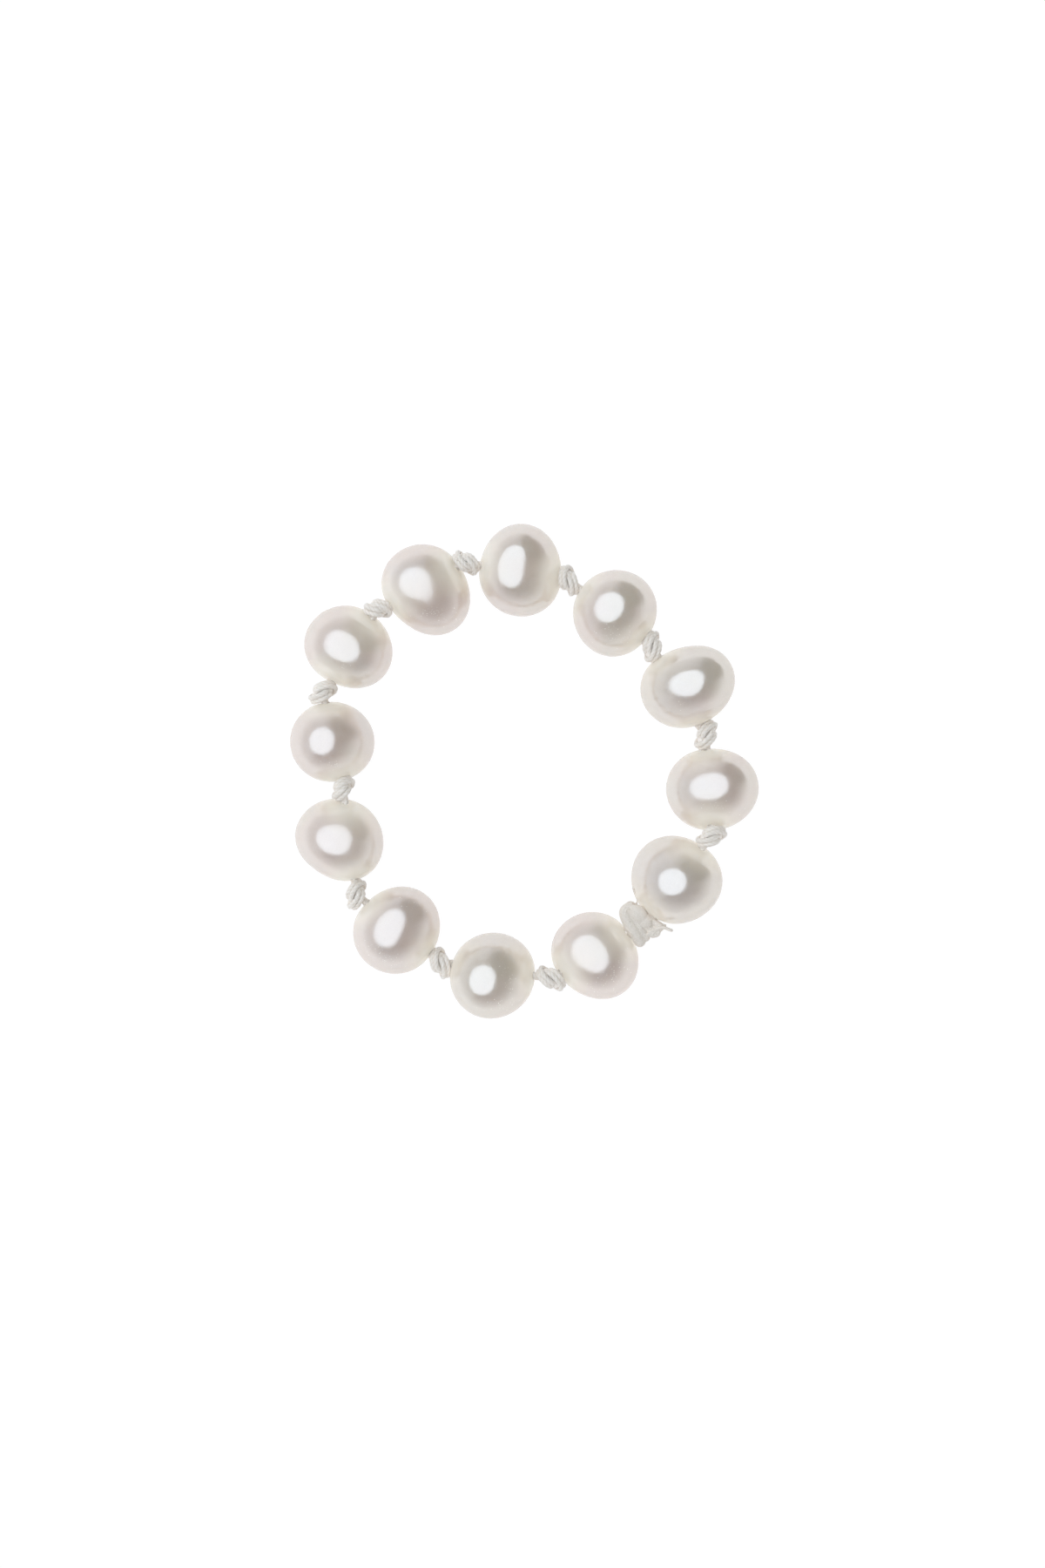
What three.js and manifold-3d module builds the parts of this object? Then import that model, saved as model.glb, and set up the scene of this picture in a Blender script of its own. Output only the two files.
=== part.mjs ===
// Pearl stacking ring: twelve off-round freshwater pearls on one doubled silk thread, hand-knotted
// between every two pearls and laid flat in a circle. Millimetres, +Z up. The origin lies on the
// surface that the ring rests on, at the middle of its outline. Angles are in degrees,
// counterclockwise from +X.
import * as THREE from "three";
import { mergeVertices } from "three/addons/utils/BufferGeometryUtils.js";
import Module from "manifold-3d";

const wasm = await Module();
wasm.setup();

// Pearls, in the order in which the thread passes them, clockwise from above.
// x, y: middle of the outline. radius: mean radius of the outline.
// long: how much longer the pearl is along longAngle than across it, as a share of its radius.
// egg: how much more it bulges towards eggAngle. low: how much lower it is than it is wide.
// lean: how much its upper side bulges towards leanAngle, and its underside away from it.
const PEARLS = [
  [-0.20, 10.96, 2.39, 0.075, -89, 0.024, -42, 0.07, 0.069, 165],
  [4.94, 8.64, 2.32, 0.033, 65, 0.021, 26, 0.04, 0.087, 83],
  [8.91, 4.61, 2.38, 0.120, 22, 0.029, 37, -0.05, 0.173, 17],
  [10.26, -1.00, 2.38, 0.077, 3, 0.016, 17, 0.01, 0.101, 11],
  [8.27, -5.95, 2.43, 0.027, -18, 0.030, 4, -0.01, 0.146, -51],
  [3.89, -10.08, 2.36, 0.076, -45, 0.026, -51, 0.08, 0.048, -55],
  [-1.74, -11.17, 2.31, 0.011, 19, 0.010, 19, 0.015, 0.205, -122],
  [-6.97, -8.73, 2.37, 0.052, 44, 0.029, 51, 0.055, 0.045, 117],
  [-10.08, -3.76, 2.32, 0.077, -29, 0.032, 54, 0.02, 0.067, -52],
  [-10.50, 1.59, 2.24, 0.029, -13, 0.006, 0, -0.055, 0.128, -157],
  [-9.62, 6.79, 2.32, 0.085, -28, 0.024, -44, 0.04, 0.096, -83],
  [-5.35, 9.96, 2.42, 0.113, -51, 0.034, -57, 0.07, 0.080, 180],
].map(([x, y, radius, long, longAngle, egg, eggAngle, low, lean, leanAngle]) => (
  { x, y, radius, long, longAngle, egg, eggAngle, low, lean, leanAngle }));
const FOOT_DEPTH = 0.03; // how much of each pearl's underside is worn flat
const BORE_RADIUS = 0.3;
const PEARL_SIDES = 24;
const PEARL_RINGS = 14;
const BORE_SIDES = 12;

// Knots. Knot i lies between pearl i and the next pearl; the closing knot is the fifth.
// x, y, z: the knot's middle. roll: its turn about the thread. size: its size against the others.
const KNOTS = [
  { x: 2.46, y: 10.41, z: 2.34, roll: 22, size: 0.97 },
  { x: 6.98, y: 6.78, z: 2.42, roll: 0, size: 0.97 },
  { x: 9.94, y: 1.96, z: 2.30, roll: -8, size: 0.98 },
  { x: 10.20, y: -3.59, z: 3.12, roll: 6, size: 0.96 },
  { x: 6.15, y: -8.42, z: 2.55, roll: 0, size: 1.00 },
  { x: 1.46, y: -11.32, z: 2.60, roll: 4, size: 1.00 },
  { x: -4.55, y: -10.49, z: 2.30, roll: -12, size: 1.00 },
  { x: -9.17, y: -6.74, z: 2.50, roll: -10, size: 0.96 },
  { x: -9.88, y: -0.96, z: 2.86, roll: -14, size: 0.84 },
  { x: -10.99, y: 4.27, z: 2.55, roll: -14, size: 0.95 },
  { x: -7.97, y: 8.81, z: 2.60, roll: -16, size: 0.88 },
  { x: -3.17, y: 11.36, z: 2.60, roll: -4, size: 0.92 },
];
const CLOSING = 4; // the closing knot's place in KNOTS

// Half of an overhand knot, from the middle of its bight to where the thread turns to leave along +x.
// The other half is the same turned half round about the y axis. It is drawn in units of KNOT_SCALE.
const KNOT_ROUTE = [
  { x: 0.00, y: 0.89, z: 0.00 },
  { x: -0.61, y: 0.80, z: 0.74 },
  { x: -1.12, y: -0.02, z: 1.05 },
  { x: -1.11, y: -0.92, z: 0.50 },
  { x: -0.45, y: -1.06, z: -0.38 },
  { x: 0.06, y: -0.61, z: -0.63 },
  { x: 0.52, y: -0.08, z: -0.40 },
];
const KNOT_SCALE = { x: 0.44, y: 0.46, z: 0.57 };
const THREAD_RADIUS = 0.16;
const THREAD_SIDES = 8;
const STEPS_PER_POINT = 2;
const STRAIGHT_START = 0.58; // distance from a knot's middle at which the thread runs straight
const STRAIGHT_LENGTH = 0.7; // how far it is held straight from there

// The closing knot, glued into one lump: a fat loop, a shorter one beside it, a round turn and a core,
// and two cut tails. x runs along the thread, y down and z outwards from the knot's middle.
const LOOP_SIDES = 8;
const LUMP_SIDES = 12;
const LUMP_RINGS = 8;
const LONG_LOOP = {
  radius: 0.33,
  steps: 15,
  route: [
    { x: 0.42, y: -0.20, z: 0.78 },
    { x: 0.28, y: -0.32, z: 0.20 },
    { x: 0.22, y: -0.28, z: -0.40 },
    { x: 0.00, y: -0.12, z: -0.98 },
    { x: -0.38, y: 0.05, z: -0.98 },
  ],
};
const SHORT_LOOP = {
  radius: 0.27,
  steps: 8,
  route: [
    { x: 0.05, y: 0.15, z: -0.10 },
    { x: -0.35, y: -0.22, z: 0.38 },
    { x: -0.44, y: -0.15, z: 0.92 },
  ],
};
const TURN = { x: -0.36, y: -0.62, z: -0.42, length: 0.38, height: 0.38, width: 0.50 };
const CORE = { x: 0.00, y: 0.05, z: -0.05, length: 0.56, height: 0.62, width: 0.90 };
const OUTER_TAIL = {
  radius: 0.10,
  steps: 6,
  route: [
    { x: -0.30, y: -0.20, z: 0.80 },
    { x: -0.95, y: -0.60, z: 0.95 },
    { x: -1.28, y: -0.85, z: 1.42 },
  ],
};
const INNER_TAIL = {
  radius: 0.10,
  steps: 6,
  route: [
    { x: -0.40, y: 0.05, z: -0.70 },
    { x: -0.80, y: 0.00, z: -1.20 },
    { x: -1.02, y: -0.05, z: -1.66 },
  ],
};

const GROUND_SIZE = 60; // side of the block below z = 0 that cuts the pearls' feet flat
const PEARL_COLOUR = 0xe9e3da;
const SILK_COLOUR = 0xe6e2d6;
const UP = new THREE.Vector3(0, 0, 1);
const POLE = new THREE.Vector3(0, 1, 0); // the axis on which spheres and cylinders are made

function toSolid(geometry) {
  geometry.deleteAttribute("normal");
  geometry.deleteAttribute("uv");
  const merged = mergeVertices(geometry);
  return new wasm.Manifold(new wasm.Mesh({
    numProp: 3,
    vertProperties: new Float32Array(merged.attributes.position.array),
    triVerts: new Uint32Array(merged.index.array),
  }));
}

function toGeometry(solid) {
  const { vertProperties, triVerts } = solid.getMesh();
  const geometry = new THREE.BufferGeometry();
  geometry.setAttribute("position", new THREE.BufferAttribute(vertProperties, 3));
  geometry.setIndex(new THREE.BufferAttribute(triVerts, 1));
  geometry.computeVertexNormals();
  return geometry;
}

// The axes of a knot: x along the thread, z outwards from the ring, y down, all turned by its roll.
function knotMatrix(i) {
  const knot = KNOTS[i];
  const before = knotMiddle(i - 1);
  const after = knotMiddle(i + 1);
  const middle = knotMiddle(i);
  const arriving = middle.clone().sub(before).normalize();
  const leaving = after.sub(middle).normalize();
  const along = arriving.add(leaving).normalize();
  const outward = UP.clone().cross(along).normalize();
  const down = outward.clone().cross(along);
  const turn = new THREE.Matrix4().makeRotationX(THREE.MathUtils.degToRad(knot.roll));
  return new THREE.Matrix4().makeBasis(along, down, outward).multiply(turn).setPosition(middle);
}

function knotMiddle(i) {
  const knot = KNOTS[(i + KNOTS.length) % KNOTS.length];
  return new THREE.Vector3(knot.x, knot.y, knot.z);
}

function polygon(sides, radius) {
  const corners = [];
  for (let k = 0; k < sides; k++) {
    const angle = (2 * Math.PI * (k + 0.5)) / sides;
    corners.push(new THREE.Vector2(radius * Math.cos(angle), radius * Math.sin(angle)));
  }
  return new THREE.Shape(corners);
}

// A curve through its points that is divided evenly between them, so that the steps are
// close together in the knots and far apart where the thread runs straight.
class ThreadCurve extends THREE.CatmullRomCurve3 {
  getPointAt(t, target) {
    return this.getPoint(t, target);
  }
  getTangentAt(t, target) {
    return this.getTangent(t, target);
  }
}

function tube(points, radius, sides, steps) {
  const extrudePath = new ThreadCurve(points);
  return toSolid(new THREE.ExtrudeGeometry(polygon(sides, radius), { steps, extrudePath }));
}

// The whole overhand knot from its half route, entering from -x and leaving along +x.
function overhandRoute() {
  const leaving = KNOT_ROUTE.map(({ x, y, z }) => new THREE.Vector3(x, y, z));
  const entering = leaving.slice(1).map(({ x, y, z }) => new THREE.Vector3(-x, y, -z)).reverse();
  return [...entering, ...leaving];
}

// Where the thread leaves knot i towards knot j and runs straight.
function straightFrom(i, j) {
  const direction = knotMiddle(j).sub(knotMiddle(i)).normalize();
  return [STRAIGHT_START, STRAIGHT_START + STRAIGHT_LENGTH].map(
    (distance) => knotMiddle(i).addScaledVector(direction, distance));
}

// The thread's way from the closing knot through every pearl and knot and back to the closing knot.
function threadPoints() {
  const points = [knotMiddle(CLOSING), ...straightFrom(CLOSING, CLOSING + 1)];
  for (let step = 1; step < KNOTS.length; step++) {
    const i = (CLOSING + step) % KNOTS.length;
    const place = knotMatrix(i);
    const scale = new THREE.Vector3(KNOT_SCALE.x, KNOT_SCALE.y, KNOT_SCALE.z).multiplyScalar(KNOTS[i].size);
    points.push(...straightFrom(i, i - 1).reverse());
    points.push(...overhandRoute().map((point) => point.multiply(scale).applyMatrix4(place)));
    points.push(...straightFrom(i, i + 1));
  }
  points.push(...straightFrom(CLOSING, CLOSING - 1).reverse(), knotMiddle(CLOSING));
  return points;
}

function loop({ radius, steps, route }) {
  const place = knotMatrix(CLOSING);
  const points = route.map(({ x, y, z }) => new THREE.Vector3(x, y, z).applyMatrix4(place));
  return tube(points, radius, LOOP_SIDES, steps);
}

function lump({ x, y, z, length, height, width }) {
  const geometry = new THREE.SphereGeometry(1, LUMP_SIDES, LUMP_RINGS);
  geometry.scale(length, height, width);
  geometry.translate(x, y, z);
  geometry.applyMatrix4(knotMatrix(CLOSING));
  return toSolid(geometry);
}

function silkThread() {
  const points = threadPoints();
  const thread = tube(points, THREAD_RADIUS, THREAD_SIDES, STEPS_PER_POINT * (points.length - 1));
  const loops = [LONG_LOOP, SHORT_LOOP, OUTER_TAIL, INNER_TAIL].map(loop);
  const lumps = [TURN, CORE].map(lump);
  const silk = [...loops, ...lumps].reduce((sum, piece) => sum.add(piece), thread);
  const material = new THREE.MeshStandardMaterial({ color: SILK_COLOUR, roughness: 0.6, metalness: 0 });
  const mesh = new THREE.Mesh(toGeometry(silk), material);
  mesh.name = "silk_thread";
  return mesh;
}

// Distance from a pearl's middle to its surface, in a direction of length 1.
function reach(pearl, direction) {
  const towards = (angle) => {
    const radians = THREE.MathUtils.degToRad(angle);
    return direction.x * Math.cos(radians) + direction.y * Math.sin(radians);
  };
  const long = (3 * towards(pearl.longAngle) ** 2 - 1) / 2;
  const egg = (5 * towards(pearl.eggAngle) ** 3 - 3 * towards(pearl.eggAngle)) / 2;
  const lean = towards(pearl.leanAngle) * direction.z;
  const round = 1 - pearl.long / 4 - pearl.low * direction.z ** 2;
  return pearl.radius * (round + pearl.long * long + pearl.egg * egg + pearl.lean * lean);
}

function pearlBody(pearl, drillDirection) {
  const geometry = new THREE.SphereGeometry(1, PEARL_SIDES, PEARL_RINGS);
  geometry.applyQuaternion(new THREE.Quaternion().setFromUnitVectors(POLE, drillDirection));
  const position = geometry.attributes.position;
  const direction = new THREE.Vector3();
  for (let k = 0; k < position.count; k++) {
    direction.fromBufferAttribute(position, k).normalize();
    direction.multiplyScalar(reach(pearl, direction));
    position.setXYZ(k, direction.x, direction.y, direction.z);
  }
  geometry.computeBoundingBox();
  geometry.translate(pearl.x, pearl.y, -geometry.boundingBox.min.z - FOOT_DEPTH);
  return toSolid(geometry);
}

// The hole drilled along the straight line between the knots on both sides of the pearl.
function bore(from, to) {
  const geometry = new THREE.CylinderGeometry(BORE_RADIUS, BORE_RADIUS, from.distanceTo(to), BORE_SIDES);
  const direction = to.clone().sub(from).normalize();
  geometry.applyQuaternion(new THREE.Quaternion().setFromUnitVectors(POLE, direction));
  geometry.translate(...from.clone().add(to).multiplyScalar(0.5));
  return toSolid(geometry);
}

function ground() {
  const geometry = new THREE.BoxGeometry(GROUND_SIZE, GROUND_SIZE, GROUND_SIZE);
  geometry.translate(0, 0, -GROUND_SIZE / 2);
  return toSolid(geometry);
}

function pearlMesh(i) {
  const from = knotMiddle(i - 1);
  const to = knotMiddle(i);
  const drillDirection = to.clone().sub(from).normalize();
  const body = pearlBody(PEARLS[i], drillDirection).subtract(bore(from, to)).subtract(ground());
  const material = new THREE.MeshStandardMaterial({ color: PEARL_COLOUR, roughness: 0.25, metalness: 0.1 });
  const mesh = new THREE.Mesh(toGeometry(body), material);
  mesh.name = `pearl_${String(i + 1).padStart(2, "0")}`;
  return mesh;
}

const ring = new THREE.Group();
PEARLS.forEach((_, i) => ring.add(pearlMesh(i)));
ring.add(silkThread());

export default ring;
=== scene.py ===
"""The looks of the pearl stacking ring: nacre pearls, a doubled silk thread with its knots, and a studio."""
import math

import bpy
import numpy as np
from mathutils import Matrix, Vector, noise


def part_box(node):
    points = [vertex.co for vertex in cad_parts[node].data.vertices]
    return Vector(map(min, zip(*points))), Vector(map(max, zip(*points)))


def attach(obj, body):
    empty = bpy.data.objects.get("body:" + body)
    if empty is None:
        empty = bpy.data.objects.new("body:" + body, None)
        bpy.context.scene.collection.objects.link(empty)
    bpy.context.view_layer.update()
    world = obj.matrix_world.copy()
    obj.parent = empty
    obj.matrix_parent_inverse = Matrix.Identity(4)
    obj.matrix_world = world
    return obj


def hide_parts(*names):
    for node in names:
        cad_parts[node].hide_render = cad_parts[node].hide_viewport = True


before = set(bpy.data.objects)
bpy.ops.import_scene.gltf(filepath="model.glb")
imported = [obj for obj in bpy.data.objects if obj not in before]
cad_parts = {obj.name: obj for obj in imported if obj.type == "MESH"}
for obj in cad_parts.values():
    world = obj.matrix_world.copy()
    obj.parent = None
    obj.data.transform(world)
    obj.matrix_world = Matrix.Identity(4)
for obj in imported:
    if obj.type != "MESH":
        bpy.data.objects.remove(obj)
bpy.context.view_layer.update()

MM = 0.001

# The knots, as in the frame, in millimetres: the middle, the turn about the thread in degrees, the size.
# Knot i lies between pearl i and the next one, clockwise from above.
KNOTS = [
    {"at": (2.46, 10.41, 2.34), "roll": 22, "size": 0.97},
    {"at": (6.98, 6.78, 2.42), "roll": 0, "size": 0.97},
    {"at": (9.94, 1.96, 2.30), "roll": -8, "size": 0.98},
    {"at": (10.20, -3.59, 3.12), "roll": 6, "size": 0.96},
    {"at": (6.15, -8.42, 2.55), "roll": 0, "size": 1.00},
    {"at": (1.46, -11.32, 2.60), "roll": 4, "size": 1.00},
    {"at": (-4.55, -10.49, 2.30), "roll": -12, "size": 1.00},
    {"at": (-9.17, -6.74, 2.50), "roll": -10, "size": 0.96},
    {"at": (-9.88, -0.96, 2.86), "roll": -14, "size": 0.84},
    {"at": (-10.99, 4.27, 2.55), "roll": -14, "size": 0.95},
    {"at": (-7.97, 8.81, 2.60), "roll": -16, "size": 0.88},
    {"at": (-3.17, 11.36, 2.60), "roll": -4, "size": 0.92},
]
CLOSING = 4  # the closing knot's place in KNOTS

# Half of an overhand knot, from the middle of its bight to where the thread turns to leave along +x.
KNOT_ROUTE = [
    (0.00, 0.89, 0.00),
    (-0.61, 0.80, 0.74),
    (-1.12, -0.02, 1.05),
    (-1.11, -0.92, 0.50),
    (-0.45, -1.06, -0.38),
    (0.06, -0.61, -0.63),
    (0.52, -0.08, -0.40),
]
KNOT_SCALE = (0.44, 0.46, 0.57)
STRAIGHT_START = 0.58   # distance from a knot's middle at which the thread runs straight
STRAIGHT_LENGTH = 0.7   # how far it is held straight from there
STEPS_PER_POINT = 12

PEARL_RADIUS = 2.3      # on average
PEARL_SIDES = 96
PEARL_RINGS = 84
FOOT_TOP = 0.05         # below this height the CAD pearls are cut flat
RAY_START = 2.0         # how far out the search for the smooth surface along a ray starts
RAY_STEPS = 12          # rounds in which a ray closes in on the smooth surface
BORE_RADIUS = 0.3       # in the frame
BORE_MARGIN = 1.05      # corners nearer to the axis than this many bore radii are the bore's own
HOLE_RADIUS = 0.19      # as seen
HOLE_DEPTH = 0.06       # from the rim to the bottom that closes it, under the thread
LIP = 0.05              # rounding of the drill hole's rim
LIP_TURNS = (0, 22, 45, 67)
DIMPLE_DEPTH = 0.02     # how far the nacre sinks round a drill hole
DIMPLE_WIDTH = 0.70
END_WIDTH = (0.6, 1.9)  # distances from the hole's axis between which pale, dull nacre, partly painted light, gives way to the usual
RELIEF = ((0.012, 0.45), (0.004, 1.3))  # uneven growth: height, and how often it changes in a millimetre

# How strongly a low shoulder of nacre stands out above the drill hole on the side of the knot before
# each pearl, and on the side of the knot after it.
SHOULDERS = [
    (0.0, 0.5), (0.0, 0.7), (0.0, 1.0), (0.2, 0.4), (0.35, 0.0), (0.0, 0.0),
    (0.2, 0.2), (0.4, 0.0), (0.0, 1.0), (0.0, 0.2), (0.9, 1.0), (0.7, 0.4),
]
SHOULDER_HEIGHT = 0.022
SHOULDER_WIDTH = 0.060  # radians
# Radians from the drill hole's axis, seen from the pearl's centre, and the share of the height: two folds.
SHOULDER_FOLDS = ((0.80, 1.0), (0.63, 0.5))

# How much longer than on the plain shape the top of each pearl is along an angle in degrees, and across it.
CROWNS = [
    (73, 1.20, 1.03), (0, 1.06, 0.94), (-27, 1.03, 0.88), (12, 1.13, 0.90),
    (7, 0.94, 0.83), (-27, 1.20, 1.05), (61, 1.15, 0.98), (73, 1.24, 0.94),
    (25, 1.16, 0.95), (52, 1.02, 0.96), (-26, 1.06, 1.00), (12, 1.16, 0.92),
]
CROWN_CENTRE = (-0.15, 0.07)  # as a share of the pearl's radius
CROWN_REACH = 0.8
CROWN_FALL = 4  # how suddenly it ends there

# Where small specks are crowded on the upper side of the pearls: the pearl's number, the middle to the
# right and away and half sizes, all as shares of its radius, the angle in degrees by which it is turned,
# and how crowded. They fade out near the pearl's widest line, below a height that is a share of its radius
# too.
SPECKLE_FADE = 0.25
SPECKLES = [
    {"pearl": 2, "at": (0.00, -0.58), "angle": 0, "size": (0.35, 0.20), "strength": 0.7},
    {"pearl": 3, "at": (-0.20, -0.50), "angle": 0, "size": (0.20, 0.12), "strength": 0.4},
    {"pearl": 4, "at": (-0.05, -0.48), "angle": 0, "size": (0.35, 0.15), "strength": 0.5},
    {"pearl": 6, "at": (0.35, -0.45), "angle": 45, "size": (0.50, 0.18), "strength": 0.5},
    {"pearl": 7, "at": (0.38, -0.10), "angle": 90, "size": (0.30, 0.14), "strength": 1.0},
    {"pearl": 7, "at": (0.15, -0.60), "angle": 0, "size": (0.30, 0.12), "strength": 0.4},
    {"pearl": 8, "at": (-0.30, -0.58), "angle": -20, "size": (0.35, 0.16), "strength": 0.7},
    {"pearl": 8, "at": (0.30, 0.65), "angle": -30, "size": (0.20, 0.12), "strength": 0.5},
    {"pearl": 10, "at": (0.12, -0.55), "angle": 0, "size": (0.22, 0.12), "strength": 0.6},
    {"pearl": 11, "at": (-0.15, -0.55), "angle": 0, "size": (0.22, 0.10), "strength": 0.4},
    {"pearl": 12, "at": (0.15, -0.62), "angle": 0, "size": (0.45, 0.15), "strength": 0.6},
]

# Colours of the nacre's body, its grain, its ends and its specks, and how green rather than pink each pearl
# is. The pale colour of the ends is partly the nacre's own and partly painted light over the shade there.
NACRE = {
    "green": (0.565, 0.508, 0.452), "pink": (0.590, 0.490, 0.456), "blue": (0.555, 0.502, 0.487),
    "grain": (0.75, 0.67, 0.60), "end": (0.90, 0.79, 0.68), "speck": (0.97, 0.93, 0.88),
}
GREENNESS = (0.5, 0.45, 0.9, 0.5, 1.0, 0.15, 0.8, 0.2, 0.35, 0.1, 0.4, 0.0)
# The reflecting skin, rougher where the nacre is pink and round the drill holes, and the milky body below it.
NACRE_IOR = 3.9
NACRE_ROUGHNESS = (0.13, 0.18)  # green, pink
END_ROUGHNESS = 0.04            # added round a drill hole
DULL_TINT = (0.4, 0.4, 0.4)     # what is left of the mirror round a drill hole
SCATTER_RADIUS = (1.0, 0.92, 0.82)
SCATTER_DEPTH = 9.0
NACRE_SHEEN = {"weight": 0.2, "roughness": 0.4, "tint": (1.0, 0.97, 0.95, 1)}
NACRE_BUMP = {"strength": 0.3, "depth": 0.012}

# The silk: twisted strands, and the closing knot, which is matted by glue.
SILK = {
    "silk": {
        "outer": (1.0, 0.93, 0.86), "deep_shade": (0.98, 0.89, 0.76), "roughness": 0.4, "sheen": 1.0,
        "bump_depth": 0.03,
    },
    "glued_silk": {
        "outer": (0.94, 0.86, 0.77), "deep_shade": (0.88, 0.79, 0.67), "roughness": 0.6, "sheen": 0.2,
        "bump_depth": 0.12,
    },
}
SILK_IOR = 1.65
SILK_SPECULAR = 0.8
SILK_BUMP_STRENGTH = 0.6
SILK_SHADE = 0.86  # painted shade, as a share of the deep colour, between the fibres and in the grooves between the plies

# Noise and dots: how many there are in a metre, or in a unit of the silk's lay.
SCALES = {
    "pink": 350, "blue": 300, "grain": 16000, "specks": 10500, "clumps": 3500, "matted": 14000, "fibres": 5,
}
# How they become shares: as the noise goes from the first number to the second, the share goes smoothly
# from 0 to 1, or from the third number to the fourth.
RAMPS = {
    "blue": (0.45, 0.75, 0.0, 0.8), "grain": (0.2, 0.8, 0.0, 0.16),
    "speck_strength": (0.0, 1.0, 0.25, 1.0), "speck_edge": (0.36, 0.14),
    "fibres": (0.55, 0.35), "clumps": (0.35, 0.65, 0.15, 0.45), "grooves": (-0.2, -1.0, 0.0, 0.65),
}
# The same for pink, on the least green pearl; on the greenest it starts later by its shift.
PINK = {"start": 0.15, "width": 0.3, "shift": 0.4}
BLUE_SEED = 50  # added to the pearl's number

STRAND_RADIUS = 0.125
STRAND_OFFSET = 0.12       # half the distance between the two strands
STRAND_SIDES = 14
KNOT_SWELL = 1.14          # how much thicker and further apart the strands are in a knot
KNOT_EDGE = (0.5, 0.8)     # distances from a knot's middle between which the swelling ends
KNOT_REACH = 0.6           # the distance from a knot's middle at which the thread lies least deep
PLY_TWIST = 9.0            # radians per millimetre
PLY_DEPTH = 0.08           # how far the three plies stand out, as a share of the strand's radius
LAY_LENGTH = 0.4           # how fast the lay changes along a strand, per millimetre
PAIR_TWIST = 3.0           # twice the radians per millimetre by which the two strands turn between the knots
PAIR_TWIST_WEIGHT = 0.05   # how much this counts beside the turn that each knot gives them
PAIR_SMOOTHING = 0.2       # length over which the turning is smoothed
PAIR_STEP = 0.05           # length of the steps in which this is done
COLLAR_RADIUS = 0.23       # of the flare of silk at the mouth of a drill hole
COLLAR_WAIST = 0.2         # its radius beyond the mouth
COLLAR_LIP = 0.12          # how far it takes to narrow
COLLAR_SUNK = 0.02         # how far it starts below the mouth
COLLAR_SHORT = 0.42        # how far before the middle of a knot it ends
COLLAR_TWIST = 3.0         # radians per millimetre
COLLAR_RINGS = 9
# What fills the inside of a knot: the middle and the half sizes.
KNOT_FILL = [
    ((0.00, 0.00, 0.00), (0.38, 0.46, 0.54)),
    ((-0.22, -0.10, 0.38), (0.22, 0.28, 0.20)),
    ((0.22, -0.10, -0.38), (0.22, 0.28, 0.20)),
]

TUBE_SIDES = 12  # of the closing knot's tubes
TUBE_STEPS = 10
CAP_TURNS = (20, 40, 60, 80)
LUMP_SIDES = 20
LUMP_RINGS = 12
MELT_VOXEL = 0.035
SOFTEN_ROUNDS = 5

VIEW_SPAN = 85.7  # height of the camera's view at the pearls' middle
VIEW_CENTRE = (-0.095, -0.714)
PEARL_MIDDLE = 2.3
LENS = 100
SENSOR = 36
CLIP_START = 0.01    # metres

FLOOR_RADIUS = 1.2   # metres
FLOOR_SIDES = 96
FLOOR_GREY = 0.1
FLOOR_GLOW = 0.95
BACKDROP_GREY = 0.9  # what the camera sees past the floor

# The light tent. Colours are radiances, azimuths are in degrees from +X, and heights are the sine of the
# angle above the horizon. The softbox is drawn on a plane 1 above the middle: its place, half sizes, turn
# in degrees, the power that shapes its corners (2 draws an ellipse), and how soft its edge is, which
# changes from left to right between two places across it. It fades in between the heights bottom and top.
SOFTBOX = {
    "x": -0.505, "y": 0.17, "half_width": 0.90, "half_height": 0.925, "turn": -5, "corners": 2.2,
    "soft_left": 0.58, "soft_right": 0.02, "left": -0.9, "right": 0.3, "colour": (1.42, 1.535, 1.65),
    "bottom": 0.05, "top": 0.15,
}
# The wall stands round its azimuth. As the cosine of the angle from there falls from full to starts, it
# gives way to a dark gap, whose colour changes from south to north.
WALL = {
    "azimuth": 152, "starts": 0.18, "full": 0.48, "colour": (0.37, 0.37, 0.37),
    "gap_north": (0.08, 0.085, 0.06), "gap_south": (0.11, 0.095, 0.09), "gap_change": 0.5,
}
# The glow above the horizon starts at one height and is full at another. Its colour changes from west to
# east. Round its azimuth it starts at a height that is less by lower, between the cosines wide and narrow
# from there.
HORIZON = {
    "starts": 0.85, "full": -0.08, "west": (0.77, 0.77, 0.77), "east": (1.00, 1.00, 1.00), "change": 0.7,
    "azimuth": 52, "lower": 0.50, "wide": 0.6, "narrow": 1.0,
}
# What the shader divides by is never less: the height of a direction, and its length on the level.
LEAST_HEIGHT = 0.02
LEAST_LEVEL = 0.05


def unit(vector):
    return vector / np.linalg.norm(vector, axis=-1, keepdims=True)


def middle(i):
    return np.array(KNOTS[i % len(KNOTS)]["at"])


def spokes(across, upward, sides):
    """Directions evenly round a circle, or round one circle for each row of across and upward."""
    turns = np.linspace(0, 2 * math.pi, sides, endpoint=False)[:, None]
    return np.cos(turns) * across[..., None, :] + np.sin(turns) * upward[..., None, :]


# Camera, light and floor

def make_camera():
    data = bpy.data.cameras.new("camera")
    data.lens = LENS
    data.sensor_width = SENSOR
    distance = VIEW_SPAN * LENS / SENSOR
    camera = bpy.data.objects.new("camera", data)
    camera.location = (VIEW_CENTRE[0] * MM, VIEW_CENTRE[1] * MM, (PEARL_MIDDLE + distance) * MM)
    data.clip_start = CLIP_START
    bpy.context.scene.collection.objects.link(camera)
    bpy.context.scene.camera = camera


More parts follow.
